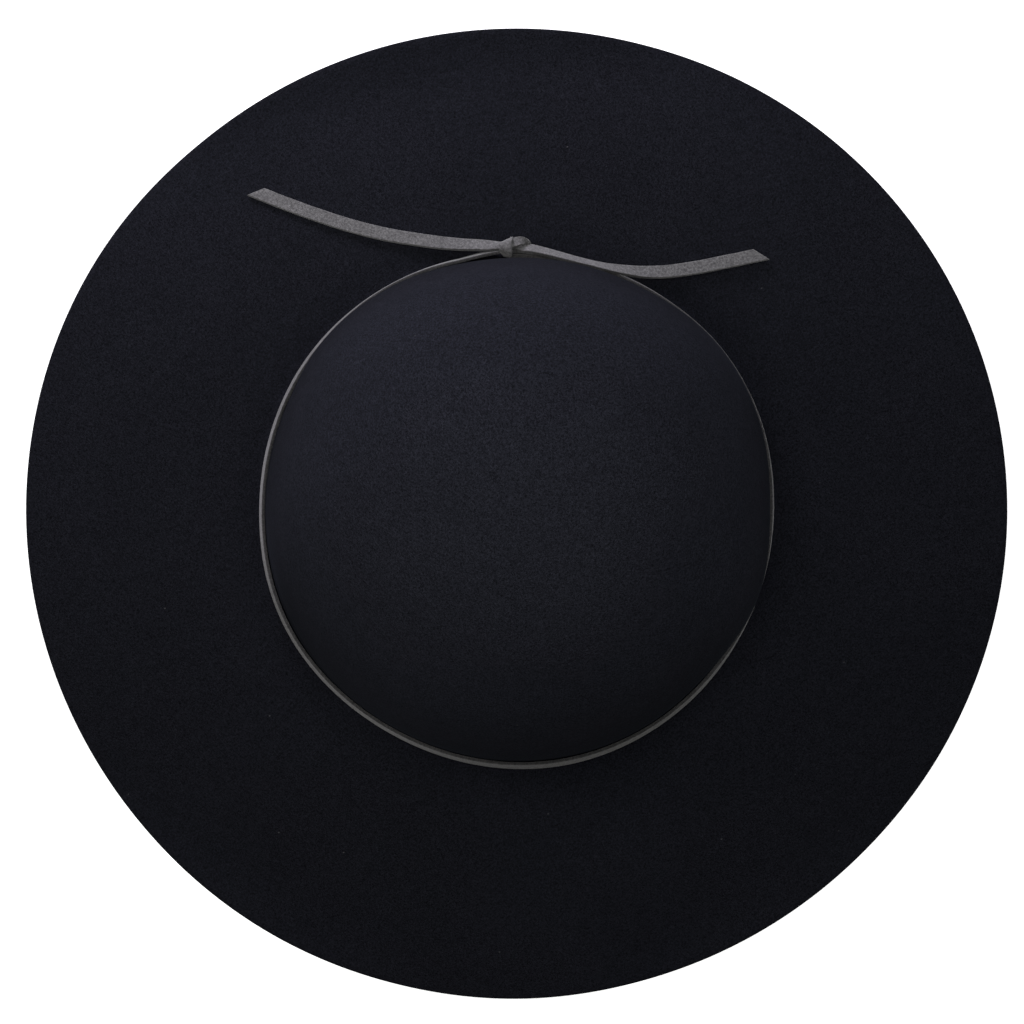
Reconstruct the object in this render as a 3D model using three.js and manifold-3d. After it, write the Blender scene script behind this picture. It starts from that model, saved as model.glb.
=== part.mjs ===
// A wide-brimmed floppy hat: one body of blocked wool felt, and a flat suede lace that
// goes round the foot of the crown and is tied at the back in a reef knot.
// Millimetres, +Z up. The hat rests on its brim on the plane Z = 0, the origin is below
// the middle of the brim, and the knot is on the +Y side.
import * as THREE from "three";
import { mergeVertices } from "three/addons/utils/BufferGeometryUtils.js";
import Module from "manifold-3d";

const wasm = await Module();
wasm.setup();

// The felt.
const FELT = 2.2; // thickness
const CROWN_AXIS = { x: 0.4, y: 1.3 }; // foot of the crown's axis, from the brim's middle
const CROWN_LEAN = { x: 0.5, y: 0.35 }; // how far the soft crown leans above its foot
const CROWN_SWELL = 0.8; // how much wider the crown is above the lace that draws it in
const SWELL_HEIGHT = 40; // lean and swell are complete at this height above the wall's foot
const CROWN_HEIGHT = 112; // from the brim's upper face at the break to the crown's top
const CROWN_ROUNDNESS = 2.6; // power of the crown's curve: 2 is a half ball, 4 a drum
const BREAK_HEIGHT = 18; // the brim's upper face where it meets the crown
const BREAK_RADIUS = 5; // the hollow between the crown's wall and the brim, outside
const BRIM_FALL = 0.3; // share of the brim's fall that is straight, the rest is curved
const REST_BLEND = 1; // height over which the brim rounds into its flat resting places
const EDGE_BEVEL = 0.6; // the worn corners of the cut edge

// The felt by direction, anticlockwise from +X seen from above. foot is the radius of
// the crown's wall outside, from its own axis. edge is the radius of the brim's edge.
// lift is the height of the edge's under side, below zero where it is pressed flat.
const SECTIONS = [
  { angle: 0, foot: 91.3, edge: 181.4, lift: 9 },
  { angle: 30, foot: 92.5, edge: 181.1, lift: 11 },
  { angle: 60, foot: 92.1, edge: 180.7, lift: 4 },
  { angle: 90, foot: 91.7, edge: 180.2, lift: -6 },
  { angle: 120, foot: 92.2, edge: 180.5, lift: -5 },
  { angle: 150, foot: 92.5, edge: 181.3, lift: 7 },
  { angle: 180, foot: 92.0, edge: 180.9, lift: 9 },
  { angle: 210, foot: 92.6, edge: 181.0, lift: 1 },
  { angle: 240, foot: 91.5, edge: 181.1, lift: -6 },
  { angle: 270, foot: 91.8, edge: 180.3, lift: 2 },
  { angle: 300, foot: 92.0, edge: 180.2, lift: -6 },
  { angle: 330, foot: 91.0, edge: 180.8, lift: 3 },
];
const STEPS_AROUND = 72;
const STEPS_CROWN = 15;
const STEPS_BREAK = 4;
const STEPS_BRIM = 9;
const STEPS_LACE = 72;

// The lace.
const LACE = 5.0; // width
const LACE_THICK = 1.2;
const LACE_BEVEL = 0.3; // the softened corners of its section
const SEAT = 0.3; // gap between the lace and the felt, or another piece of lace
const LACE_LEAN = 18; // degrees by which its lower edge stands out from the wall
const LACE_FOOT = 1.6; // height of its lower edge over the brim at the break
const LACE_STARTS = { right: 6.0, left: -6.9 }; // where it leaves the knot, along X

// The free ends on the brim, from the knot outwards. tilt turns the edge nearer the
// crown up from the brim's own slope, and up is the other edge's height over its seat.
const LEFT_END = [
  { x: -6.6, y: 98.0, tilt: 18, up: 3.2 },
  { x: -14.0, y: 98.5, tilt: 20, up: 2.0 },
  { x: -22.8, y: 98.8, tilt: 18, up: 1.0 },
  { x: -36.0, y: 100.5, tilt: 12, up: 0.3 },
  { x: -44.8, y: 101.9, tilt: 8, up: 0 },
  { x: -53.7, y: 104.0, tilt: 6, up: 0 },
  { x: -62.6, y: 106.5, tilt: 5, up: 0 },
  { x: -71.5, y: 109.4, tilt: 4, up: 0 },
  { x: -80.4, y: 112.6, tilt: 3, up: 0 },
  { x: -95.6, y: 118.6, tilt: 3, up: 0 },
];
const RIGHT_END = [
  { x: 6.2, y: 96.6, tilt: 50, up: 4.8 },
  { x: 14.6, y: 94.5, tilt: 60, up: 5.1 },
  { x: 23.4, y: 92.1, tilt: 62, up: 5.3 },
  { x: 32.1, y: 90.1, tilt: 62, up: 4.2 },
  { x: 41.0, y: 88.9, tilt: 46, up: 1.3 },
  { x: 49.9, y: 88.5, tilt: 22, up: 0.1 },
  { x: 58.7, y: 89.2, tilt: 14, up: 0 },
  { x: 67.5, y: 90.5, tilt: 10, up: 0 },
  { x: 76.3, y: 92.3, tilt: 8, up: 0 },
  { x: 90.2, y: 95.1, tilt: 6, up: 0 },
];
const LEFT_CUT = 4.9; // how much further the cut end's crown side reaches
const RIGHT_CUT = 5.0;
const STEPS_END = 26;

// The knot: a core, and the two bights of lace that show over it. across is the way
// from one edge of the lace to the other, as x, y and z.
const CORE = { x: -0.5, y: 97.3, z: 22.6, long: 10.6, wide: 6.4, high: 6.4 };
const WRAP_WIDTH = 4.6;
const WRAP = [
  { x: -3.7, y: 99.6, z: 19.3, across: [1, 0, 0] },
  { x: -3.7, y: 100.8, z: 21.4, across: [1, 0.1, 0] },
  { x: -3.7, y: 100.4, z: 24.2, across: [1, 0.15, 0.1] },
  { x: -3.7, y: 98.4, z: 26.3, across: [1, 0, 0.15] },
  { x: -3.7, y: 96.0, z: 26.2, across: [1, 0, 0.15] },
  { x: -3.7, y: 94.5, z: 24.6, across: [1, -0.1, 0] },
  { x: -3.7, y: 94.4, z: 22.6, across: [1, 0, 0] },
];
const ARCH_WIDTH = 4.0;
const ARCH = [
  { x: -3.0, y: 98.9, z: 25.0, across: [0, -1, 0.5] },
  { x: -0.6, y: 99.4, z: 25.3, across: [0, -1, 0.55] },
  { x: 1.8, y: 99.5, z: 25.0, across: [-0.15, -1, 0.6] },
  { x: 3.8, y: 98.9, z: 23.9, across: [-0.5, -0.8, 0.6] },
  { x: 4.7, y: 97.6, z: 22.3, across: [-0.8, -0.4, 0.5] },
  { x: 4.4, y: 96.4, z: 20.9, across: [-0.8, 0, 0.4] },
];

const FELT_COLOUR = new THREE.MeshStandardMaterial({
  color: 0x1b1c22,
  roughness: 0.95,
  metalness: 0,
});
const SUEDE_COLOUR = new THREE.MeshStandardMaterial({
  color: 0x6c6b6e,
  roughness: 0.9,
  metalness: 0,
});

const radians = THREE.MathUtils.degToRad;
const degreesOf = THREE.MathUtils.radToDeg;
const smooth = (t) => THREE.MathUtils.smoothstep(t, 0, 1);

// A column of SECTIONS at any direction, on a smooth closed curve through its rows.
function around(column, degrees) {
  const place = (((degrees % 360) + 360) % 360) / (360 / SECTIONS.length);
  const row = Math.floor(place);
  const t = place - row;
  const at = (k) => SECTIONS[(row + k + SECTIONS.length) % SECTIONS.length][column];
  const [a, b, c, d] = [at(-1), at(0), at(1), at(2)];
  const bend = 2 * a - 5 * b + 4 * c - d;
  const turn = 3 * (b - c) + d - a;
  return b + 0.5 * t * (c - a + t * (bend + t * turn));
}

// Height of the felt's middle where it would lie lower than the floor allows.
function rested(z) {
  const over = z - FELT / 2;
  if (over <= -REST_BLEND) return FELT / 2;
  if (over >= REST_BLEND) return z;
  return FELT / 2 + (over + REST_BLEND) ** 2 / (4 * REST_BLEND);
}

// The middle of the felt's thickness on the brim: u is 0 at the break and 1 at the edge.
function brimMiddle(degrees, u) {
  const a = radians(degrees);
  const start = around("foot", degrees) + BREAK_RADIUS;
  const edge = around("edge", degrees);
  const top = BREAK_HEIGHT - FELT / 2;
  const low = around("lift", degrees) + FELT / 2;
  const fall = BRIM_FALL * u + (1 - BRIM_FALL) * u * u;
  return new THREE.Vector3(
    (1 - u) * CROWN_AXIS.x + ((1 - u) * start + u * edge) * Math.cos(a),
    (1 - u) * CROWN_AXIS.y + ((1 - u) * start + u * edge) * Math.sin(a),
    rested(top + (low - top) * fall),
  );
}

// The middle of the felt on the crown: t is 0 at the wall's foot and 1 at the top.
function crownMiddle(degrees, t) {
  const a = radians(degrees);
  const turn = (Math.PI / 2) * t;
  const power = 2 / CROWN_ROUNDNESS;
  const rise = CROWN_HEIGHT - BREAK_RADIUS - FELT / 2;
  const height = rise * Math.sin(turn) ** power;
  const grown = smooth(height / SWELL_HEIGHT);
  const mean = SECTIONS.reduce((sum, s) => sum + s.foot, 0) / SECTIONS.length;
  const foot = THREE.MathUtils.lerp(around("foot", degrees), mean + CROWN_SWELL, grown);
  const r = (foot - FELT / 2) * Math.max(0, Math.cos(turn)) ** power;
  return new THREE.Vector3(
    CROWN_AXIS.x + CROWN_LEAN.x * grown + r * Math.cos(a),
    CROWN_AXIS.y + CROWN_LEAN.y * grown + r * Math.sin(a),
    BREAK_HEIGHT + BREAK_RADIUS + height,
  );
}

// The middle of the felt in the hollow at the break: t is 0 at the wall, 1 at the brim.
function breakMiddle(degrees, t) {
  const a = radians(degrees);
  const turn = Math.PI + (Math.PI / 2) * t;
  const r = around("foot", degrees) + BREAK_RADIUS + (BREAK_RADIUS + FELT / 2) * Math.cos(turn);
  return new THREE.Vector3(
    CROWN_AXIS.x + r * Math.cos(a),
    CROWN_AXIS.y + r * Math.sin(a),
    BREAK_HEIGHT + BREAK_RADIUS + (BREAK_RADIUS + FELT / 2) * Math.sin(turn),
  );
}

// A closed solid from rings of points, in which each ring runs clockwise seen from the
// ring after it. A ring of one point is a pole, and any other end ring gets a flat cap.
function loft(rings) {
  const starts = rings.map((_, k) => rings.slice(0, k).reduce((n, r) => n + r.length, 0));
  const faces = [];
  for (let k = 0; k + 1 < rings.length; k++) {
    const [n, m] = [rings[k].length, rings[k + 1].length];
    for (let i = 0; i < Math.max(n, m); i++) {
      const [a, b] = [starts[k] + (i % n), starts[k] + ((i + 1) % n)];
      const [c, d] = [starts[k + 1] + (i % m), starts[k + 1] + ((i + 1) % m)];
      if (m > 1) faces.push(a, c, d);
      if (n > 1) faces.push(a, m > 1 ? d : c, b);
    }
  }
  const last = rings.length - 1;
  for (let i = 1; i + 1 < rings[0].length; i++) {
    faces.push(starts[0], starts[0] + i, starts[0] + i + 1);
  }
  for (let i = 1; i + 1 < rings[last].length; i++) {
    faces.push(starts[last], starts[last] + i + 1, starts[last] + i);
  }
  const geometry = new THREE.BufferGeometry().setFromPoints(rings.flat());
  geometry.setIndex(faces);
  geometry.computeVertexNormals();
  return geometry;
}

// The crown and brim as one hollow felt: down its outer face, round the brim's cut edge
// and back up its inner face.
function feltBody() {
  const directions = Array.from({ length: STEPS_AROUND }, (_, i) => (360 * i) / STEPS_AROUND);
  const summit = crownMiddle(0, 1);
  const shift = (p, n, far) => p.clone().addScaledVector(n, far);
  const lines = directions.map((degrees) => {
    const line = [];
    for (let k = 1; k <= STEPS_CROWN; k++) {
      line.push(crownMiddle(degrees, 1 - k / STEPS_CROWN));
    }
    for (let k = 1; k < STEPS_BREAK; k++) line.push(breakMiddle(degrees, k / STEPS_BREAK));
    for (let k = 0; k <= STEPS_BRIM; k++) line.push(brimMiddle(degrees, k / STEPS_BRIM));
    const out = new THREE.Vector3(Math.cos(radians(degrees)), Math.sin(radians(degrees)));
    const normals = line.map((p, k) => {
      if (p.z <= FELT / 2) return new THREE.Vector3(0, 0, 1);
      const along = (line[k + 1] ?? p).clone().sub(line[k - 1] ?? summit);
      return out.clone().multiplyScalar(-along.z).setZ(along.dot(out)).normalize();
    });
    const edge = line.length - 1;
    const outer = line.map((p, k) => shift(p, normals[k], FELT / 2));
    const inner = line.map((p, k) => shift(p, normals[k], -FELT / 2));
    outer[edge].addScaledVector(out, -EDGE_BEVEL);
    inner[edge].addScaledVector(out, -EDGE_BEVEL);
    const rim = FELT / 2 - EDGE_BEVEL;
    const nose = [shift(line[edge], normals[edge], rim), shift(line[edge], normals[edge], -rim)];
    return [...outer, ...nose, ...inner.reverse()];
  });
  const rings = lines[0].map((_, k) => lines.map((line) => line[k]));
  const up = new THREE.Vector3(0, 0, FELT / 2);
  return loft([[summit.clone().add(up)], ...rings, [summit.clone().sub(up)]]);
}

// The height of the brim's upper face over a place on the plan.
function brimTop(x, y) {
  let [degrees, u] = [0, 0];
  for (let pass = 0; pass < 4; pass++) {
    const [dx, dy] = [x - (1 - u) * CROWN_AXIS.x, y - (1 - u) * CROWN_AXIS.y];
    degrees = degreesOf(Math.atan2(dy, dx));
    const start = around("foot", degrees) + BREAK_RADIUS;
    u = Math.max(0, (Math.hypot(dx, dy) - start) / (around("edge", degrees) - start));
  }
  return brimMiddle(degrees, u).z + FELT / 2;
}

// A length of flat lace along stations, each with a place and a way across. cut is how
// much further one corner of the last end reaches.
function lace(stations, width, cut = 0) {
  const rings = stations.map((station, k) => {
    const before = stations[Math.max(0, k - 1)].place;
    const after = stations[Math.min(stations.length - 1, k + 1)].place;
    const along = after.clone().sub(before).normalize();
    const across = station.across.clone();
    across.addScaledVector(along, -across.dot(along)).normalize();
    const face = new THREE.Vector3().crossVectors(along, across);
    const slant = k === stations.length - 1 ? cut / width : 0;
    const [w, t, c] = [width / 2, LACE_THICK / 2, LACE_BEVEL];
    const corners = [
      [w, -t + c], [w, t - c], [w - c, t], [-w + c, t],
      [-w, t - c], [-w, -t + c], [-w + c, -t], [w - c, -t],
    ];
    return corners.map(([p, q]) =>
      station.place
        .clone()
        .addScaledVector(across, p)
        .addScaledVector(face, q)
        .addScaledVector(along, slant * p),
    );
  });
  return loft(rings.reverse());
}

// The lace round the foot of the crown, from the knot's right the long way to its left.
function crownLace() {
  const lean = radians(LACE_LEAN);
  const start = (x) => degreesOf(Math.acos((x - CROWN_AXIS.x) / around("foot", 90)));
  const [from, to] = [start(LACE_STARTS.right), start(LACE_STARTS.left) - 360];
  const stations = Array.from({ length: STEPS_LACE + 1 }, (_, k) => {
    const degrees = THREE.MathUtils.lerp(from, to, k / STEPS_LACE);
    const a = radians(degrees);
    const out = new THREE.Vector3(Math.cos(a), Math.sin(a));
    const off = SEAT + (LACE * Math.sin(lean) + LACE_THICK * Math.cos(lean)) / 2;
    const place = out.clone().multiplyScalar(around("foot", degrees) + off);
    place.add(new THREE.Vector3(CROWN_AXIS.x, CROWN_AXIS.y, BREAK_HEIGHT + LACE_FOOT));
    place.z += (LACE * Math.cos(lean) + LACE_THICK * Math.sin(lean)) / 2;
    return { place, across: out.multiplyScalar(-Math.sin(lean)).setZ(Math.cos(lean)) };
  });
  return lace(stations, LACE);
}

// A free end of the lace, lying on the brim along its rows.
function freeEnd(rows, cut) {
  const curve = new THREE.CatmullRomCurve3(
    rows.map((r) => new THREE.Vector3(r.x, r.y, 0)), false, "centripetal");
  const stations = Array.from({ length: STEPS_END + 1 }, (_, k) => {
    const t = k / STEPS_END;
    const row = Math.min(rows.length - 2, Math.floor(t * (rows.length - 1)));
    const part = t * (rows.length - 1) - row;
    const mix = (name) => THREE.MathUtils.lerp(rows[row][name], rows[row + 1][name], part);
    const place = curve.getPoint(t);
    const along = curve.getTangent(t);
    const inwards = new THREE.Vector3(along.y, -along.x, 0).normalize();
    if (inwards.y > 0) inwards.negate();
    const heights = [1, -1].map((side) => {
      const edge = place.clone().addScaledVector(inwards, (side * LACE) / 2);
      return brimTop(edge.x, edge.y);
    });
    const tilt = radians(mix("tilt")) + Math.atan2(heights[0] - heights[1], LACE);
    const low = place.clone().addScaledVector(inwards, -(LACE / 2) * Math.cos(tilt));
    place.z = brimTop(low.x, low.y) + SEAT + mix("up");
    place.z += (LACE / 2) * Math.sin(tilt) + (LACE_THICK / 2) * Math.cos(tilt);
    const across = inwards.clone().multiplyScalar(Math.cos(tilt)).setZ(Math.sin(tilt));
    return { place, across };
  });
  return lace(stations, LACE, cut);
}

// The knot, joined into one solid from its core and its two bights.
function knot() {
  const solid = (geometry) => {
    geometry.deleteAttribute("normal");
    geometry.deleteAttribute("uv");
    const merged = mergeVertices(geometry, 1e-4);
    return new wasm.Manifold(new wasm.Mesh({
      numProp: 3,
      vertProperties: new Float32Array(merged.attributes.position.array),
      triVerts: new Uint32Array(merged.index.array),
    }));
  };
  const bight = (rows, width) => {
    const curve = new THREE.CatmullRomCurve3(
      rows.map((r) => new THREE.Vector3(r.x, r.y, r.z)), false, "centripetal");
    const stations = Array.from({ length: 2 * rows.length - 1 }, (_, k) => {
      const [before, after] = [rows[Math.floor(k / 2)], rows[Math.ceil(k / 2)]];
      const across = new THREE.Vector3(...before.across);
      across.add(new THREE.Vector3(...after.across));
      return { place: curve.getPoint(k / (2 * rows.length - 2)), across };
    });
    return solid(lace(stations, width));
  };
  const ball = new THREE.SphereGeometry(0.5, 16, 10);
  ball.scale(CORE.long, CORE.wide, CORE.high);
  ball.translate(CORE.x, CORE.y, CORE.z);
  const joined = solid(ball).add(bight(WRAP, WRAP_WIDTH)).add(bight(ARCH, ARCH_WIDTH));
  const mesh = joined.getMesh();
  const geometry = new THREE.BufferGeometry();
  geometry.setAttribute("position", new THREE.BufferAttribute(mesh.vertProperties, 3));
  geometry.setIndex(new THREE.BufferAttribute(mesh.triVerts, 1));
  geometry.computeVertexNormals();
  return geometry;
}

const hat = new THREE.Group();
function add(name, geometry, material) {
  const mesh = new THREE.Mesh(geometry, material);
  mesh.name = name;
  hat.add(mesh);
}

add("felt_body", feltBody(), FELT_COLOUR);
add("crown_lace", crownLace(), SUEDE_COLOUR);
add("lace_knot", knot(), SUEDE_COLOUR);
add("lace_end_left", freeEnd(LEFT_END, LEFT_CUT), SUEDE_COLOUR);
add("lace_end_right", freeEnd(RIGHT_END, RIGHT_CUT), SUEDE_COLOUR);

export default hat;
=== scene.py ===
# %% [markdown]
# # A wide-brimmed felt hat with a suede lace
# The imported model is loaded first, as a fixed frame. Each piece below is made around it,
# in metres, with +Z up and the knot on the +Y side. The box of the frame is kept, to print
# it at the end next to the box of what shows.

# %% The frame
import math

import bpy
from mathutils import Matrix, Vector, noise


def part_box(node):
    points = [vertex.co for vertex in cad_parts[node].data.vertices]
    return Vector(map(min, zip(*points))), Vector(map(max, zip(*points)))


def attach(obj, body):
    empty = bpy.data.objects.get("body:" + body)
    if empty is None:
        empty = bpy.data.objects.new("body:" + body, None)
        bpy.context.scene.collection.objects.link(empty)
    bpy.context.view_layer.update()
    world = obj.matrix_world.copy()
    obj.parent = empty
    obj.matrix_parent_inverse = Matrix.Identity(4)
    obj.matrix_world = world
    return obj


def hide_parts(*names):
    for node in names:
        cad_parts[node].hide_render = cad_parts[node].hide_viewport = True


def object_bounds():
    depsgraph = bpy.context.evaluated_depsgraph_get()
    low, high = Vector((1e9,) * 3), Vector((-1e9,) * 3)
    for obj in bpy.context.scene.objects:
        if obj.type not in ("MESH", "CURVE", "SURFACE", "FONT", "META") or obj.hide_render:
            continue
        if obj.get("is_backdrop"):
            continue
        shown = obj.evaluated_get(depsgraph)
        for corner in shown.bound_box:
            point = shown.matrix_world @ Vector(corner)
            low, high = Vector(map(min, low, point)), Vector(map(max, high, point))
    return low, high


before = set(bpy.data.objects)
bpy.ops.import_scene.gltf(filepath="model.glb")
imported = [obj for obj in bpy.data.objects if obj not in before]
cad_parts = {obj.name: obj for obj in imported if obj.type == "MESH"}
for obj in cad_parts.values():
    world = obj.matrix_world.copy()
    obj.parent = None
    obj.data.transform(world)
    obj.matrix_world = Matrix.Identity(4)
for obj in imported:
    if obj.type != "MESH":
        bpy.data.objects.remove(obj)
cad_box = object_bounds()
MM = 0.001
scene = bpy.context.scene
print("nodes:", sorted(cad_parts))

# %% [markdown]
# ## The camera
# The photograph was taken from straight above, from about 1.3 m, with a long lens: that
# far away the brim, which lies lower than the crown, still looks nearly its true size. A
# camera with no rotation looks straight down, so its place and its lens are all it needs.

# %% The camera
FRAME_WIDTH = 0.37888
BRIM_EDGE_HEIGHT = 0.008
CAMERA_PLACE = (-0.00148, 0.00037, 1.308)
SENSOR_MM = 36.0

bpy.ops.object.camera_add(location=CAMERA_PLACE, rotation=(0, 0, 0))
camera = bpy.context.object
camera.name = "overhead_camera"
camera.data.sensor_width = SENSOR_MM
camera.data.lens = SENSOR_MM * (CAMERA_PLACE[2] - BRIM_EDGE_HEIGHT) / FRAME_WIDTH
scene.camera = camera
print("lens:", round(camera.data.lens, 1), "mm")

# %% [markdown]
# ## A helper for materials
# Every finish here starts from Object coordinates, which are the same on all the pieces
# because each piece keeps its object at the origin. So one size of noise gives one size of
# grain everywhere, in true millimetres. The values of a noise lie mostly between 0.3 and
# 0.7, which is the range that a mottling is spread from.

# %% Noise, colour and bump
USUAL_NOISE = (0.3, 0.7)


def new_material(name):
    """A material's nodes, its links, its shader and the Object coordinates to feed it."""
    material = bpy.data.materials.new(name)
    material.use_nodes = True
    nodes, links = material.node_tree.nodes, material.node_tree.links
    place = nodes.new("ShaderNodeTexCoord").outputs["Object"]
    return material, nodes, links, nodes["Principled BSDF"], place


def turn_pattern(nodes, links, place, longer, turn):
    """Coordinates in which a pattern is longer times as long along its own axes, and turned."""
    mapping = nodes.new("ShaderNodeMapping")
    mapping.vector_type = "TEXTURE"
    mapping.inputs["Scale"].default_value = longer
    mapping.inputs["Rotation"].default_value = [math.radians(a) for a in turn]
    links.new(place, mapping.inputs["Vector"])
    return mapping.outputs["Vector"]


def add_noise(nodes, links, place, size_mm, detail=3.0, roughness=0.6):
    """A noise whose blobs are about size_mm millimetres across."""
    texture = nodes.new("ShaderNodeTexNoise")
    texture.inputs["Scale"].default_value = 1 / (size_mm * MM)
    texture.inputs["Detail"].default_value = detail
    texture.inputs["Roughness"].default_value = roughness
    links.new(place, texture.inputs["Vector"])
    return texture.outputs["Fac"]


def add_ramp(nodes, links, value, stops):
    """Colours for a value. stops is a list of positions and colours."""
    ramp = nodes.new("ShaderNodeValToRGB")
    links.new(value, ramp.inputs["Fac"])
    while len(ramp.color_ramp.elements) < len(stops):
        ramp.color_ramp.elements.new(0.5)
    for element, (position, colour) in zip(ramp.color_ramp.elements, stops):
        element.position = position
        element.color = (*colour, 1)
    return ramp.outputs["Color"]


def mix_colours(nodes, links, one, other, factor, blend="MIX"):
    """One colour mixed with another."""
    mix = nodes.new("ShaderNodeMix")
    mix.data_type = "RGBA"
    mix.blend_type = blend
    if isinstance(factor, float):
        mix.inputs["Factor"].default_value = factor
    else:
        links.new(factor, mix.inputs["Factor"])
    links.new(one, mix.inputs["A"])
    links.new(other, mix.inputs["B"])
    return mix.outputs["Result"]


def add_math(nodes, links, operation, one, other):
    """The result of a sum on two values. The other may be a plain number."""
    node = nodes.new("ShaderNodeMath")
    node.operation = operation
    links.new(one, node.inputs[0])
    if isinstance(other, float):
        node.inputs[1].default_value = other
    else:
        links.new(other, node.inputs[1])
    return node.outputs["Value"]


def tone_colour(nodes, links, colour, noise_value, low, high):
    """A colour made darker and lighter by a noise, from low to high times its brightness."""
    spread = nodes.new("ShaderNodeMapRange")
    spread.inputs["From Min"].default_value = USUAL_NOISE[0]
    spread.inputs["From Max"].default_value = USUAL_NOISE[1]
    spread.inputs["To Min"].default_value = low
    spread.inputs["To Max"].default_value = high
    links.new(noise_value, spread.inputs["Value"])
    return mix_colours(nodes, links, colour, spread.outputs["Result"], 1.0, "MULTIPLY")


def add_bump(nodes, links, height, shader, strength, depth_mm, under=None):
    """Bump of a height on a shader, on top of the bump under it if there is one."""
    bump = nodes.new("ShaderNodeBump")
    bump.inputs["Strength"].default_value = strength
    bump.inputs["Distance"].default_value = depth_mm * MM
    links.new(height, bump.inputs["Height"])
    if under is not None:
        links.new(under, bump.inputs["Normal"])
    links.new(bump.outputs["Normal"], shader.inputs["Normal"])
    return bump.outputs["Normal"]


# %% [markdown]
# ## The suede
# Suede is the split side of the hide. It has a short nap, so it is quite matt, and it looks
# mottled because the nap lies in different directions. The colour comes from two noises, a
# fine one for the nap and a slow one for wear. The bump comes from the nap and from the
# still finer fibres. A little sheen stands for the fibres' glow. The cut edge gets its own,
# darker material: partly the hide's darker inside, partly painted shade for the dark seams
# where the strands lie against each other.

# %% The suede's face and its cut edge
SUEDE_COLOURS = [
    (0.33, (0.039, 0.038, 0.040)),
    (0.50, (0.092, 0.090, 0.092)),
    (0.68, (0.168, 0.165, 0.168)),
]
# Painted shade in part: the cut edge is darker as the hide's inside and to stand in for the shade
# in the seams.
CUT_EDGE_DARK_AND_SHADE = 0.45
NAP_MM = 0.8
NAP_DEPTH_MM = 0.25
WEAR_MM = 6.0
WEAR_TONES = (0.88, 1.12)
SUEDE_FIBRE_MM = 0.35
SUEDE_FIBRE_DEPTH_MM = 0.12
SUEDE_BUMP = 0.5


def make_suede(name, tone):
    """Suede whose colours are multiplied by tone."""
    material, nodes, links, shader, place = new_material(name)
    nap = add_noise(nodes, links, place, NAP_MM, detail=5, roughness=0.75)
    toned = [(at, tuple(tone * c for c in colour)) for at, colour in SUEDE_COLOURS]
    mottled = add_ramp(nodes, links, nap, toned)
    wear = add_noise(nodes, links, place, WEAR_MM, detail=2)
    links.new(tone_colour(nodes, links, mottled, wear, *WEAR_TONES), shader.inputs["Base Color"])
    shader.inputs["Roughness"].default_value = 0.92
    shader.inputs["Specular IOR Level"].default_value = 0.2
    shader.inputs["Sheen Weight"].default_value = 0.25
    shader.inputs["Sheen Roughness"].default_value = 0.6
    fibres = add_noise(nodes, links, place, SUEDE_FIBRE_MM, detail=4, roughness=0.7)
    rough = add_bump(nodes, links, fibres, shader, SUEDE_BUMP, SUEDE_FIBRE_DEPTH_MM)
    add_bump(nodes, links, nap, shader, SUEDE_BUMP, NAP_DEPTH_MM, under=rough)
    return material


suede_face = make_suede("suede", 1.0)
# The cut edge's material: the darker inside of the hide, plus painted shade.
suede_edge_dark_and_shade = make_suede("suede_cut_edge_dark_and_painted_shade", CUT_EDGE_DARK_AND_SHADE)
print("suede:", suede_face.name, suede_edge_dark_and_shade.name)

# %% [markdown]
# ## Laying a flat lace
# The lace is one flat strip of suede, 5 mm wide and 1.2 mm thick. It could be a curve with
# a flat bevel profile, but then its width and its thickness always change together. Here a
# grid is laid along the route instead, so the strip can narrow and curl across where the
# knot pinches it. Solidify gives it its thickness, with the cut edges as a second material,
# and Bevel softens the cut edges.
#
# A route is a list of rows in millimetres and degrees: the middle's x, y and z, the width,
# how far each half curls, and the way across the strip as x, y and z. A smooth curve runs
# through each of these columns, so the rows can be far apart.

# %% A smooth route
LACE_WIDTH = 5.0
LACE_THICKNESS = 1.2


def between(before, start, end, after, t):
    """A row between start and end, on a smooth curve that also passes the other two."""
    row = []
    for a, b, c, d in zip(before, start, end, after):
        bend = 2 * a - 5 * b + 4 * c - d
        turn = 3 * (b - c) + d - a
        row.append(b + 0.5 * t * (c - a + t * (bend + t * turn)))
    return row


def smooth_route(rows, spacing):
    """The rows of a route with more in between, about spacing millimetres apart."""
    route = []
    for k in range(len(rows) - 1):
        start, end = rows[k], rows[k + 1]
        before, after = rows[max(k - 1, 0)], rows[min(k + 2, len(rows) - 1)]
        steps = max(2, round((Vector(end[:3]) - Vector(start[:3])).length / spacing))
        route += [between(before, start, end, after, s / steps) for s in range(steps)]
    return route + [list(rows[-1])]


def runs_of(route):
    """How far along its route each row lies, in millimetres."""
    runs = [0.0]
    for a, b in zip(route, route[1:]):
        runs.append(runs[-1] + (Vector(b[:3]) - Vector(a[:3])).length)
    return runs


# %% [markdown]
# For most of the lace it is easier to say how it leans than which way it faces. The tilt is
# measured from flat, round the way the lace runs, and it grows as the edge nearer the crown
# rises. At 90 degrees the strip stands on its edge. The curl says by how many degrees the
# outer edge and the edge nearer the crown turn down. Most of the lace has none.


# %% From tilt to the way across
def leaning(rows, inwards):
    """Route rows from x, y, z, tilt, width and curls. inwards is 1 if the crown is at the right."""
    route = []
    for k, (x, y, z, tilt, width, *curls) in enumerate(rows):
        ahead = Vector(rows[min(k + 1, len(rows) - 1)][:3])
        along = (ahead - Vector(rows[max(k - 1, 0)][:3])).normalized()
        level = inwards * along.cross(Vector((0, 0, 1))).normalized()
        above = inwards * level.cross(along).normalized()
        across = level * math.cos(math.radians(tilt)) + above * math.sin(math.radians(tilt))
        outer, inner = curls or (0, 0)
        route.append((x, y, z, width, inwards * outer, inwards * inner, *across))
    return route


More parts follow.
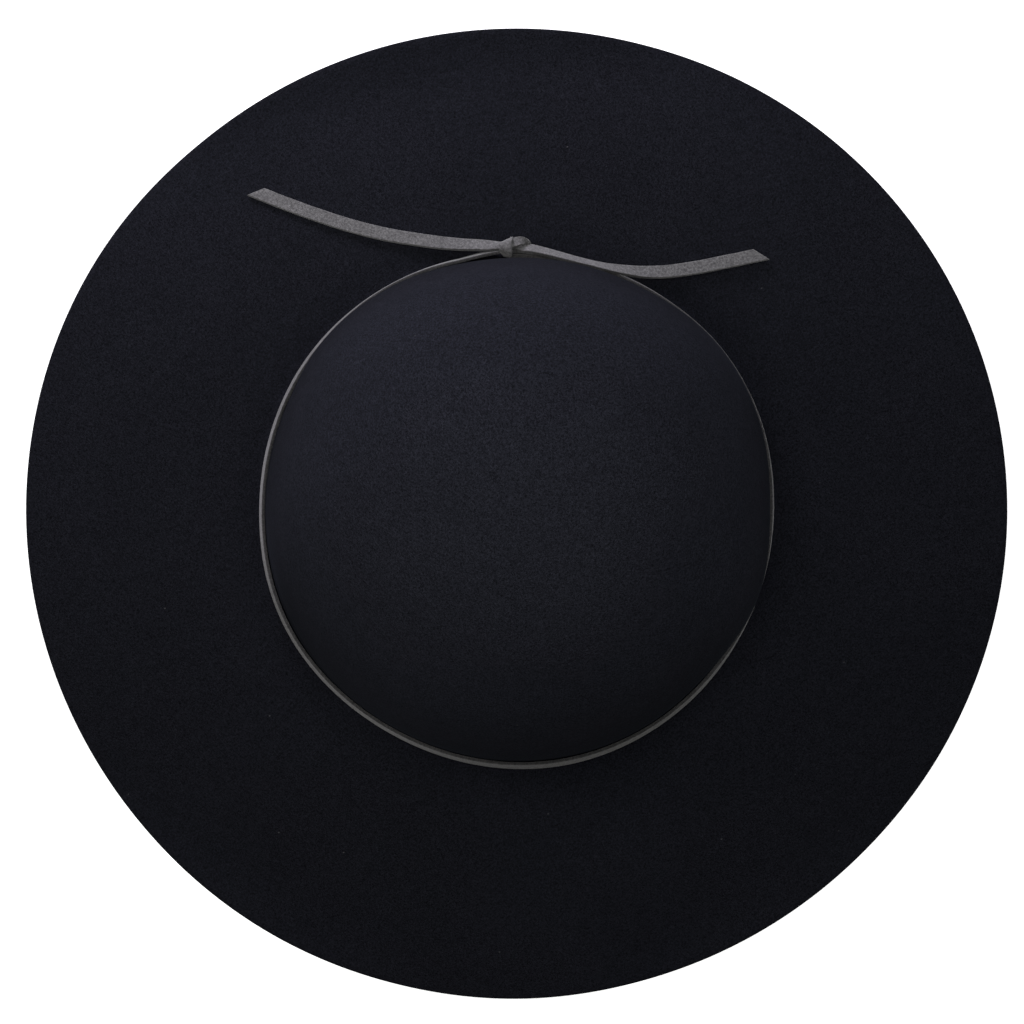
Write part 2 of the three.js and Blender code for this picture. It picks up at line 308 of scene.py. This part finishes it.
# %% [markdown]
# The strip itself: each vertex of the grid knows from its place in the grid how far along
# and how far across it belongs. The last few millimetres can be slanted, as the lace's ends
# are cut. A slow noise makes the width a little uneven, as on a hand-cut lace. Which part of
# the noise a strip gets is set by the length of its name.

# %% Laying the strip
ACROSS_STEPS = 8
CUT_REACH = 7.0
UNEVEN_WIDTH = 0.03
UNEVEN_LENGTH = 6.0
LEAST_CURL = 1.0


def eased(value, start, end):
    """Goes smoothly from 0 at start to 1 at end."""
    t = min(1.0, max(0.0, (value - start) / (end - start)))
    return t * t * (3 - 2 * t)


def lay_lace(name, route, cut=0.0):
    """A strip of lace along a route. cut is how much further one corner of its end reaches."""
    steps = len(route) - 1
    bpy.ops.object.select_all(action="DESELECT")
    bpy.ops.mesh.primitive_grid_add(
        x_subdivisions=steps, y_subdivisions=ACROSS_STEPS, size=1, calc_uvs=True)
    strip = bpy.context.object
    strip.name = name
    strip.data.name = name
    runs = runs_of(route)
    for vertex in strip.data.vertices:
        k, side = round((vertex.co.x + 0.5) * steps), vertex.co.y * 2
        x, y, z, width, outer, inner, *across = route[k]
        along = Vector(route[min(k + 1, steps)][:3]) - Vector(route[max(k - 1, 0)][:3])
        along.normalize()
        across = Vector(across)
        across = (across - along * across.dot(along)).normalized()
        uneven = noise.noise(Vector((runs[k] / UNEVEN_LENGTH, side, len(name))))
        sideways, rise = side * width / 2 * (1 + UNEVEN_WIDTH * uneven), 0.0
        curl = inner if side > 0 else outer
        if abs(curl) > LEAST_CURL:
            radius = width / 2 / math.radians(curl)
            turned = sideways / radius
            sideways, rise = radius * math.sin(turned), radius * (1 - math.cos(turned))
        reach = cut / 2 * side * eased(runs[k], runs[-1] - CUT_REACH, runs[-1])
        place = Vector((x, y, z)) + across * sideways + along * reach
        vertex.co = (place + along.cross(across) * rise) * MM
    finish_strip(strip)
    return strip


# %% [markdown]
# Solidify thickens the strip evenly on both sides. Its rim is the cut edge, which gets the
# material slot after the face's. The Bevel comes after it and rounds only the sharp corners.

# %% Thickness and soft corners
CUT_EDGE_BEVEL = 0.28
SHARP_ANGLE = math.radians(50)


def apply_modifiers(piece):
    """Applies all modifiers of a piece, in their order."""
    bpy.ops.object.select_all(action="DESELECT")
    piece.select_set(True)
    bpy.context.view_layer.objects.active = piece
    for modifier in list(piece.modifiers):
        bpy.ops.object.modifier_apply(modifier=modifier.name)


def finish_strip(strip):
    """Gives a laid grid its materials, its thickness, its rounded edges and smooth shading."""
    strip.data.materials.append(suede_face)
    strip.data.materials.append(suede_edge_dark_and_shade)
    thick = strip.modifiers.new("thickness", "SOLIDIFY")
    thick.thickness = LACE_THICKNESS * MM
    thick.offset = 0
    thick.use_even_offset = True
    thick.material_offset_rim = 1
    soft = strip.modifiers.new("soft corners", "BEVEL")
    soft.width = CUT_EDGE_BEVEL * MM
    soft.segments = 2
    soft.limit_method = "ANGLE"
    soft.angle_limit = SHARP_ANGLE
    apply_modifiers(strip)
    bpy.ops.object.shade_smooth_by_angle(angle=SHARP_ANGLE)


# %% [markdown]
# ## The two free ends
# Both free ends of the lace lie loose on the brim and end in a slanting cut. The left one
# leaves the knot leaning a little. The right one comes out leaning on the lace round the
# crown, then turns flat as it comes down on the brim. Each begins inside the knot, where
# nothing shows it. Their routes follow the CAD solids they replace.

# %% The left free end
LEFT_END = [
    (-3.7, 97.7, 23.6, 45, 4.0, 30, 20),
    (-5.2, 97.75, 23.3, 48, 4.0, 28, 16),
    (-7.0, 97.8, 22.9, 46, 4.4, 20, 10),
    (-10.2, 97.85, 22.2, 42, 5.0, 8, 4),
    (-14.3, 98.05, 21.6, 37, 5.0),
    (-20.3, 98.35, 20.6, 30, 5.0),
    (-28.3, 99.15, 19.6, 22, 5.0),
    (-37.1, 100.45, 18.6, 18, 5.0),
    (-46.2, 102.0, 17.5, 15, 5.0),
    (-55.4, 104.15, 16.6, 13, 5.0),
    (-64.7, 106.85, 15.4, 12.6, 5.0),
    (-73.8, 109.95, 14.0, 12.4, 5.0),
    (-84.8, 114.05, 12.15, 12.7, 5.0),
    (-96.05, 118.65, 10.0, 13, 5.0),
]
LEFT_CUT = 4.9
END_SPACING = 0.6

left_route = smooth_route(leaning(LEFT_END, -1), END_SPACING)
left_end = lay_lace("suede_end_left", left_route, cut=LEFT_CUT)
print("left end:", round(runs_of(left_route)[-1], 1), "mm with what the knot hides")

# %% The right free end
RIGHT_END = [
    (-1.6, 98.7, 20.9, 25, 4.4),
    (-0.4, 98.0, 21.6, 38, 4.4),
    (1.3, 97.2, 22.7, 46, 4.5),
    (3.2, 96.7, 24.0, 50, 4.7),
    (5.2, 96.5, 24.9, 52, 4.9),
    (9.1, 95.65, 25.4, 55, 5.0),
    (14.9, 94.15, 25.7, 59, 5.0),
    (21.0, 92.5, 25.8, 61.5, 5.0),
    (27.1, 91.0, 25.5, 61.5, 5.0),
    (33.1, 89.7, 24.4, 57, 5.0),
    (39.3, 88.85, 22.3, 46, 5.0),
    (45.5, 88.35, 20.6, 34, 5.0),
    (51.6, 88.3, 19.5, 22.8, 5.0),
    (57.7, 88.8, 19.0, 17.6, 5.0),
    (66.8, 90.15, 18.5, 13.3, 5.0),
    (75.9, 92.0, 18.0, 11.4, 5.0),
    (85.3, 93.95, 17.5, 10.4, 5.0),
    (90.2, 94.95, 17.25, 10, 5.0),
]
RIGHT_CUT = 5.0

right_route = smooth_route(leaning(RIGHT_END, 1), END_SPACING)
right_end = lay_lace("suede_end_right", right_route, cut=RIGHT_CUT)
print("right end:", round(runs_of(right_route)[-1], 1), "mm with what the knot hides")


# %% The free ends on the root, in place of their CAD nodes
def declare_end(piece, node):
    """Puts a free end on the root body and hides the CAD node it replaces."""
    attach(piece, "root")
    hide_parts(node)


declare_end(left_end, "lace_end_left")
declare_end(right_end, "lace_end_right")

# %% [markdown]
# ## The lace round the crown
# The lace stands on its edge round the foot of the crown, and leans out a little at its
# lower edge because the felt curves out there. The crown is not quite round, so the route
# is measured on it: from each direction a ray goes in and stops at the felt's wall.

# %% Measuring the crown's wall
CROWN_AXIS = (0.4, 1.3)
WALL_HEIGHT = 24.5
RAY_START = 94.5
DIRECTIONS = 72


def wall_radius(degrees):
    """The distance from the crown's axis to the outside of its wall, in millimetres."""
    out = Vector((math.cos(math.radians(degrees)), math.sin(math.radians(degrees)), 0))
    centre = Vector((*CROWN_AXIS, WALL_HEIGHT)) * MM
    start = centre + out * RAY_START * MM
    _, place, _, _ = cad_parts["felt_body"].ray_cast(start, -out)
    return (place - centre).length / MM


walls = [(wall_radius(360 * k / DIRECTIONS),) for k in range(DIRECTIONS)]
print("crown's wall: from", round(min(walls)[0], 2), "to", round(max(walls)[0], 2), "mm")

# %% [markdown]
# The two ends of this stretch run on into the knot. At the right it goes straight on behind
# the knot, and at the left the knot draws it a little off the wall. A lace tied by hand does
# not lie evenly either: it stands steeper in some places and is looser in others. The list
# gives every 20 degrees, from the +X side on, how far it stands off the wall and how steep.

# %% The route round the crown
LACE_MIDDLE_HEIGHT = 22.15
BAND_LAY = [(1.9, 81), (2.2, 84), (2.1, 88), (1.5, 84), (1.5, 77), (1.55, 79), (1.8, 84),
            (1.6, 77), (1.3, 75), (1.4, 75), (1.85, 74), (1.65, 73), (1.65, 72), (1.8, 70),
            (2.05, 68), (1.75, 71), (2.0, 75), (2.25, 86)]
BAND_FROM, BAND_TO = 85.5, -257.0
BAND_ROWS = 240
BAND_SPACING = 0.8


def at_direction(rows, degrees):
    """The row for one direction, from rows that go round the crown in even steps."""
    place = degrees / 360 * len(rows)
    k = math.floor(place)
    return between(*(rows[(k + j) % len(rows)] for j in (-1, 0, 1, 2)), place - k)


def round_the_crown(degrees):
    """The row of the route that lies on the crown's wall in one direction from its axis."""
    off, lean = at_direction(BAND_LAY, degrees)
    radius = at_direction(walls, degrees)[0] + off
    a = math.radians(degrees)
    x, y = CROWN_AXIS[0] + radius * math.cos(a), CROWN_AXIS[1] + radius * math.sin(a)
    return (x, y, LACE_MIDDLE_HEIGHT, lean, LACE_WIDTH)


BAND_START = [(-3.2, 94.1, 21.6, 86, 4.6), (1.0, 94.2, 21.7, 83, 4.8)]
BAND_END = [(-12.4, 94.5, 22.2, 78, 5.0), (-7.2, 95.3, 22.3, 84, 4.8), (-3.7, 95.7, 22.4, 87, 4.6)]
turn = (BAND_TO - BAND_FROM) / BAND_ROWS
band_rows = [round_the_crown(BAND_FROM + turn * k) for k in range(BAND_ROWS + 1)]
band_rows = [*BAND_START, *band_rows, *BAND_END]
band_route = smooth_route(leaning(band_rows, 1), BAND_SPACING)
band = lay_lace("suede_band", band_route)
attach(band, "root")
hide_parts("crown_lace")
print("round the crown:", round(runs_of(band_route)[-1], 1), "mm")

# %% [markdown]
# ## The knot
# It is a reef knot of two bights. The left lace makes the arch: it comes from the left free
# end, rises over the right lace, turns down and back at the right, and goes on as the lace
# round the crown. The knot pinches it, so it is narrowest where it turns. The right lace
# makes the wrap: it dives under the arch, comes up on the outside, goes over both strands
# of the left lace and down again at the crown. The wrap stands upright at its sides, where
# a tilt has no meaning, so its rows give the way across themselves, and its curl is
# negative where an edge turns down on the strands.

# %% The arch
ARCH = [
    (-3.7, 97.7, 23.6, 45, 4.0, 30, 20),
    (-2.4, 98.15, 24.6, 34, 3.9, 0, 10),
    (-0.9, 98.6, 25.1, 28, 3.8, -8, 0),
    (0.5, 99.05, 25.2, 26, 3.6, -8, 0),
    (1.7, 99.4, 25.0, 20, 3.2, -5, 0),
    (2.7, 99.35, 24.2, 4, 2.8, 0, 0),
    (3.5, 98.85, 22.9, -40, 3.4, 0, 0),
    (3.8, 97.9, 21.6, -72, 4.4, 0, 0),
    (3.8, 96.9, 20.9, -88, 4.6, 0, 0),
    (3.2, 96.1, 20.8, -90, 4.6, 0, 0),
    (2.0, 95.75, 21.2, -90, 4.6, 0, 0),
    (0.4, 95.65, 21.8, -90, 4.6, 0, 0),
    (-1.6, 95.65, 22.2, -90, 4.6, 0, 0),
    (-3.7, 95.7, 22.4, -87, 4.6, 0, 0),
]
KNOT_SPACING = 0.3
arch = lay_lace("suede_arch", smooth_route(leaning(ARCH, 1), KNOT_SPACING))

# %% The wrap
WRAP = [
    (-1.6, 98.7, 20.9, 4.4, 0, 0, 0.61, 0.66, -0.42),
    (-2.5, 99.1, 20.8, 4.5, 0, 0, 0.80, 0.48, -0.10),
    (-3.0, 99.4, 21.9, 4.6, 0, 0, 0.91, 0.40, 0.00),
    (-3.1, 99.6, 23.4, 4.8, -10, 0, 0.92, 0.39, 0.03),
    (-3.35, 99.25, 24.9, 4.9, -18, 5, 0.93, 0.36, 0.08),
    (-3.75, 98.3, 26.0, 4.8, -20, 10, 0.98, 0.14, 0.12),
    (-3.8, 96.8, 26.4, 4.7, -20, 10, 0.98, -0.04, 0.12),
    (-3.75, 95.55, 26.1, 4.6, -20, 8, 0.97, -0.20, 0.08),
    (-3.6, 94.75, 24.8, 4.2, -15, 5, 0.955, -0.29, 0.03),
    (-3.2, 94.35, 23.0, 3.4, -10, 0, 0.97, -0.24, 0.00),
    (-3.0, 94.2, 21.0, 3.0, 0, 0, 0.98, -0.20, 0.00),
]
wrap = lay_lace("suede_wrap", smooth_route(WRAP, KNOT_SPACING))

# %% The knot in one piece
bpy.ops.object.select_all(action="DESELECT")
arch.select_set(True)
wrap.select_set(True)
bpy.context.view_layer.objects.active = arch
bpy.ops.object.join()
arch.name = "suede_knot"
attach(arch, "root")
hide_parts("lace_knot")
print("knot:", len(arch.data.polygons), "faces")

# %% [markdown]
# ## The felt
# Crown and brim are one wool felt, steamed and pulled over a block, so they are one piece
# here as well. Its shape comes from the CAD solid: a copy of that mesh is merged, its
# triangles are paired into quads again, and a Subdivision Surface rounds it. The CAD solid
# itself is only hidden.

# %% A copy of the CAD felt as quads
MERGE = 1e-5
PAIR_ANGLE = math.radians(70)

felt = bpy.data.objects.new("felt_hat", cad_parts["felt_body"].data.copy())
scene.collection.objects.link(felt)
bpy.ops.object.select_all(action="DESELECT")
felt.select_set(True)
bpy.context.view_layer.objects.active = felt
bpy.ops.object.mode_set(mode="EDIT")
bpy.ops.mesh.select_mode(type="VERT")
bpy.ops.mesh.select_all(action="SELECT")
bpy.ops.mesh.remove_doubles(threshold=MERGE)
bpy.ops.mesh.tris_convert_to_quads(face_threshold=PAIR_ANGLE, shape_threshold=PAIR_ANGLE)
bpy.ops.mesh.select_all(action="DESELECT")
bpy.ops.object.mode_set(mode="OBJECT")
print("felt:", len(felt.data.polygons), "faces")

# %% [markdown]
# The crown's top is a fan of triangles round one point, outside and inside. Such a pole
# shows as a faint star once it is smoothed. So each pole's point goes, and Grid Fill closes
# the hole with quads. Grid Fill leaves them flat, so they are lifted on to the dome again.

# %% Closing the crown's top without a pole
TOP_POWER = 2.6
FILL_SPAN = 18


def close_top(pole_height):
    """Replaces one pole of the felt by a grid of quads that follows the dome."""
    mesh = felt.data
    pole = min(mesh.vertices, key=lambda v: abs(v.co.z - pole_height) + v.co.xy.length)
    top = pole.co.copy()
    pole.select = True
    bpy.ops.object.mode_set(mode="EDIT")
    bpy.ops.mesh.delete(type="VERT")
    bpy.ops.mesh.select_all(action="DESELECT")
    bpy.ops.mesh.select_non_manifold()
    bpy.ops.object.mode_set(mode="OBJECT")
    ring = [v.co.copy() for v in mesh.vertices if v.select]
    ring_radius = sum((p - top).xy.length for p in ring) / len(ring)
    ring_height = sum(p.z for p in ring) / len(ring)
    kept = len(mesh.vertices)
    bpy.ops.object.mode_set(mode="EDIT")
    bpy.ops.mesh.fill_grid(span=FILL_SPAN)
    bpy.ops.mesh.select_all(action="DESELECT")
    bpy.ops.object.mode_set(mode="OBJECT")
    for vertex in mesh.vertices[kept:]:
        share = min(1.0, (vertex.co - top).xy.length / ring_radius)
        vertex.co.z = top.z + (ring_height - top.z) * share ** TOP_POWER
    return len(ring), len(mesh.vertices) - kept


CAD_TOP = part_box("felt_body")[1].z
FELT_THICKNESS = 0.0022
for pole_height in (CAD_TOP, CAD_TOP - FELT_THICKNESS):
    print("top closed: ring and new points", close_top(pole_height))

# %% [markdown]
# The brim's cut edge should stay crisp while the rest is rounded, so the edges that run
# round its last rings get a crease. The short edges across get none, or each point of the
# rim would stay a corner. Subdivision also draws a ring of points in by a fixed share, so
# the copy is made larger by that share first.

# %% Rounding the felt
EDGE_CREASE = 0.55
EDGE_BAND = 0.0011
RING_POINTS = 72
LEVELS = 2


def rim_edges(mesh):
    """The edges that run round the brim's cut edge, its two corners on each side."""
    step = 360 / RING_POINTS
    angle = [math.degrees(math.atan2(v.co.y, v.co.x)) for v in mesh.vertices]
    outermost = {}
    for v in mesh.vertices:
        sector = round(angle[v.index] / step) % RING_POINTS
        outermost[sector] = max(outermost.get(sector, 0), v.co.xy.length)
    chosen = []
    for edge in mesh.edges:
        a, b = (mesh.vertices[k] for k in edge.vertices)
        near_rim = all(v.co.xy.length > outermost[round(angle[v.index] / step) % RING_POINTS]
                       - EDGE_BAND for v in (a, b))
        if near_rim and (a.co - b.co).length > 2 * EDGE_BAND:
            chosen.append(edge)
    return chosen


drawn_in = (4 + 2 * math.cos(math.radians(360 / RING_POINTS))) / 6
for vertex in felt.data.vertices:
    vertex.co.x = CROWN_AXIS[0] * MM + (vertex.co.x - CROWN_AXIS[0] * MM) / drawn_in
    vertex.co.y = CROWN_AXIS[1] * MM + (vertex.co.y - CROWN_AXIS[1] * MM) / drawn_in
rim = rim_edges(felt.data)
creases = felt.data.attributes.new("crease_edge", "FLOAT", "EDGE")
for edge in rim:
    creases.data[edge.index].value = EDGE_CREASE
rounding = felt.modifiers.new("rounding", "SUBSURF")
rounding.levels = rounding.render_levels = LEVELS
apply_modifiers(felt)
bpy.ops.object.shade_smooth()
print("rim edges:", len(rim), "felt:", len(felt.data.polygons), "faces")

# %% [markdown]
# Soft felt is never quite even. A slow noise moves the brim and the crown a little, both
# faces of the felt alike so that its thickness stays. Near the lace and where the brim
# rests on the table nothing moves. Above the lace most of the soft wall is drawn in by about
# a millimetre, so that the lace's upper edge shows from above. In three places it bulges
# over the lace instead, and hides that edge. The list gives by how many millimetres the wall
# is drawn in for every 20 degrees, from the +X side on.

# %% Unevenness
WAVE_LENGTH = 0.055
WAVE_HEIGHT = 0.0007
WAVE_UPRIGHT = 0.3
QUIET_RING = (0.088, 0.104)
QUIET_SLOPE = 0.02
WALL_LAY = [(1.0,), (-0.5,), (-1.1,), (0.6,), (1.2,), (1.3,), (-0.3,), (-0.7,), *[(1.3,)] * 8,
            (1.2,), (-0.5,)]
WALL_LAY_HEIGHTS = (0.024, 0.045, 0.075, 0.112)

for vertex in felt.data.vertices:
    place = vertex.co.copy()
    outwards = place.xy - Vector(CROWN_AXIS) * MM
    reach = outwards.length
    off = max(QUIET_RING[0] - reach, reach - QUIET_RING[1], 0)
    if place.z > WALL_HEIGHT * MM + QUIET_SLOPE:
        off = QUIET_SLOPE
    share = min(1.0, off / QUIET_SLOPE) * min(1.0, place.z / QUIET_SLOPE)
    along = noise.noise(Vector((place.x, place.y, WAVE_UPRIGHT * place.z)) / WAVE_LENGTH)
    vertex.co.z += WAVE_HEIGHT * share * along
    foot, full, shoulder, top = WALL_LAY_HEIGHTS
    drawn = at_direction(WALL_LAY, math.degrees(math.atan2(outwards.y, outwards.x)))[0] * MM
    drawn *= eased(place.z, foot, full) * (1 - eased(place.z, shoulder, top))
    vertex.co.xy -= drawn * outwards / max(reach, MM)
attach(felt, "root")
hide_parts("felt_body")

# %% [markdown]
# ## The wool felt
# Felt is a tangle of fine fibres with no weave. From a metre away it is a very dark, matt
# surface with a fine, irregular grain and now and then a speck of lint. Three noises, each
# stretched another way, make the tangle, and three plain ones of growing size the mottling.
# The tone also follows the height, as a share of the hat's. That is painted light and
# shade: the crown's top is painted paler, and the low wall by the lace is painted darkest.

# %% The felt's colours
FELT_COLOURS = [
    (0.45, (0.0060, 0.0063, 0.0085)),
    (0.75, (0.0232, 0.0244, 0.0334)),
]
FIBRE_MM = 0.4
FIBRE_LONGER = 3.0
FIBRE_TURNS = (15, 75, 135)
FIBRE_RISE = 20
MOTTLE_SIZES_AND_TONES = [(0.9, 0.86, 1.14), (4.0, 0.92, 1.08), (45.0, 0.94, 1.06)]
HAT_HEIGHT = 0.130
# Painted light and shade by height: the low crown wall by the lace darkest, the crown's top palest.
PAINTED_LIGHT_AND_SHADE_BY_HEIGHT = [(0.0, 0.64), (0.152, 0.64), (0.18, 0.43), (0.25, 0.43), (0.46, 0.56),
                  (0.62, 0.82), (0.77, 0.89), (0.91, 0.86), (1.0, 1.0)]

felt_wool, nodes, links, shader, place = new_material("brushed_wool_felt")
tangle = None
for fibre_turn in FIBRE_TURNS:
    turned = (0, FIBRE_RISE, fibre_turn)
    lying = turn_pattern(nodes, links, place, (FIBRE_LONGER, 1, 1), turned)
    strand = add_noise(nodes, links, lying, FIBRE_MM, detail=2, roughness=0.5)
    tangle = strand if tangle is None else add_math(nodes, links, "MAXIMUM", tangle, strand)
grain = add_ramp(nodes, links, tangle, FELT_COLOURS)
for size, low, high in MOTTLE_SIZES_AND_TONES:
    mottle = add_noise(nodes, links, place, size, detail=3, roughness=0.6)
    grain = tone_colour(nodes, links, grain, mottle, low, high)
height = nodes.new("ShaderNodeSeparateXYZ")
links.new(place, height.inputs["Vector"])
height = add_math(nodes, links, "DIVIDE", height.outputs["Z"], HAT_HEIGHT)
# Painted light and shade: the felt's colour is multiplied by a tone that follows the height.
painted_light_and_shade = add_ramp(nodes, links, height, [(at, (tone, tone, tone)) for at, tone in PAINTED_LIGHT_AND_SHADE_BY_HEIGHT])
grain = mix_colours(nodes, links, grain, painted_light_and_shade, 1.0, "MULTIPLY")

# %% [markdown]
# The lint is a Voronoi texture: its Distance is small only close to one random point in each
# of its cells. The surface passes close enough to a point in few of the cells, so the specks
# are rare, and none is as wide as a millimetre. The bump comes from the tangle, and from a
# slower noise for the way the pile lies.

# %% Lint, roughness and bump
LINT_CELL_MM = 13
LINT_RADIUS_MM = 0.32
LINT_LONGER = 1.4
LINT_TURN = 35
LINT = (0.05, 0.05, 0.055)
FUZZ_BUMP, FUZZ_DEPTH_MM = 0.35, 0.2
PILE_MM = 2.2
PILE_BUMP, PILE_DEPTH_MM = 0.25, 0.25

cells = nodes.new("ShaderNodeTexVoronoi")
cells.inputs["Scale"].default_value = 1 / (LINT_CELL_MM * MM)
lying = turn_pattern(nodes, links, place, (LINT_LONGER, 1, 1), (0, 0, LINT_TURN))
links.new(lying, cells.inputs["Vector"])
speck_edge = LINT_RADIUS_MM / LINT_CELL_MM
lint = add_ramp(nodes, links, cells.outputs["Distance"],
                [(0.5 * speck_edge, (1, 1, 1)), (speck_edge, (0, 0, 0))])
lint_colour = nodes.new("ShaderNodeRGB")
lint_colour.outputs[0].default_value = (*LINT, 1)
links.new(mix_colours(nodes, links, grain, lint_colour.outputs[0], lint),
          shader.inputs["Base Color"])
shader.inputs["Roughness"].default_value = 0.95
shader.inputs["Specular IOR Level"].default_value = 0.03
shader.inputs["Sheen Weight"].default_value = 0.01
shader.inputs["Sheen Roughness"].default_value = 0.3
shader.inputs["Sheen Tint"].default_value = (0.65, 0.75, 1.0, 1)
fuzz = add_bump(nodes, links, tangle, shader, FUZZ_BUMP, FUZZ_DEPTH_MM)
pile = add_noise(nodes, links, place, PILE_MM, detail=3)
add_bump(nodes, links, pile, shader, PILE_BUMP, PILE_DEPTH_MM, under=fuzz)
felt.data.materials.clear()
felt.data.materials.append(felt_wool)
print("felt finish:", felt_wool.name)

# %% [markdown]
# ## The floor and the light
# The photograph has a pure white ground, which gives the hat no light of its own: the foot of
# the crown is the darkest part. So the floor is a white plane with a glow that only the
# camera sees, and the world is white in the same way. Four soft boxes light the hat. The
# largest hangs right above it. A small one stands low at the knot's side, so that it
# brightens that shoulder of the crown and leaves the far wall dark. Two weaker ones at the
# left and the right fill the rest, and the world adds very little. The floor lies a little
# below the brim, so that no two faces share a place.

# %% What the camera alone sees
FLOOR_SIZE = 12
FLOOR_GAP = 0.0002
FLOOR_WHITE = 0.85
FLOOR_GLOW = 0.85
WORLD_LIGHT = 0.02


def seen_only(nodes, links, socket, seen, unseen):
    """Sets a brightness that is seen for the camera and unseen for the light on the hat."""
    brightness = nodes.new("ShaderNodeMapRange")
    brightness.inputs["To Min"].default_value = unseen
    brightness.inputs["To Max"].default_value = seen
    camera_ray = nodes.new("ShaderNodeLightPath").outputs["Is Camera Ray"]
    links.new(camera_ray, brightness.inputs["Value"])
    links.new(brightness.outputs["Result"], socket)


bpy.ops.object.select_all(action="DESELECT")
bpy.ops.mesh.primitive_plane_add(size=FLOOR_SIZE, location=(0, 0, -FLOOR_GAP))
floor = bpy.context.object
floor.name = "white_table"
table, nodes, links, shader, _ = new_material("white_table_top")
shader.inputs["Base Color"].default_value = (FLOOR_WHITE, FLOOR_WHITE, FLOOR_WHITE, 1)
shader.inputs["Roughness"].default_value = 0.9
shader.inputs["Specular IOR Level"].default_value = 0.1
shader.inputs["Emission Color"].default_value = (1, 1, 1, 1)
seen_only(nodes, links, shader.inputs["Emission Strength"], FLOOR_GLOW, 0.0)
floor.data.materials.append(table)
floor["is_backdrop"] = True
world = bpy.data.worlds.new("white_room")
scene.world = world
world.use_nodes = True
nodes, links = world.node_tree.nodes, world.node_tree.links
nodes["Background"].inputs["Color"].default_value = (1, 1, 1, 1)
seen_only(nodes, links, nodes["Background"].inputs["Strength"], 1.0, WORLD_LIGHT)

# %% The lights
LIGHT_AIM = Vector((0, 0, 0.06))


def add_soft_box(name, direction, height, distance, size, power, colour):
    """A round soft box aimed at the hat. direction and height are in degrees."""
    a, e = math.radians(direction), math.radians(height)
    way = Vector((math.cos(e) * math.cos(a), math.cos(e) * math.sin(a), math.sin(e)))
    bpy.ops.object.light_add(type="AREA", location=LIGHT_AIM + distance * way)
    box = bpy.context.object
    box.name = name
    box.rotation_euler = way.to_track_quat("Z", "Y").to_euler()
    box.visible_camera = False
    box.data.shape = "DISK"
    box.data.size = size
    box.data.energy = power
    box.data.color = colour


add_soft_box("top_light", 0, 90, 0.9, 0.6, 4.9, (0.98, 0.98, 0.95))
add_soft_box("low_light", 112, 8, 0.8, 0.3, 4.8, (0.91, 0.87, 1.0))
add_soft_box("left_light", 165, 36, 0.9, 0.5, 2.2, (1.0, 0.98, 0.97))
add_soft_box("right_light", 48, 22, 0.9, 0.5, 1.85, (0.91, 0.92, 1.0))

scene.view_settings.view_transform = "Standard"

# %% [markdown]
# ## The size
# Last, the box of all that shows is printed next to the CAD's own box. The felt may stand
# proud of the CAD by a little, and nothing else should.

# %% Printing the boxes
shown_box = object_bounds()
boxes = {"cad": [list(c) for c in cad_box], "shown": [list(c) for c in shown_box]}
for name, (low, high) in boxes.items():
    print(name, [round(v / MM, 1) for v in low], [round(v / MM, 1) for v in high])
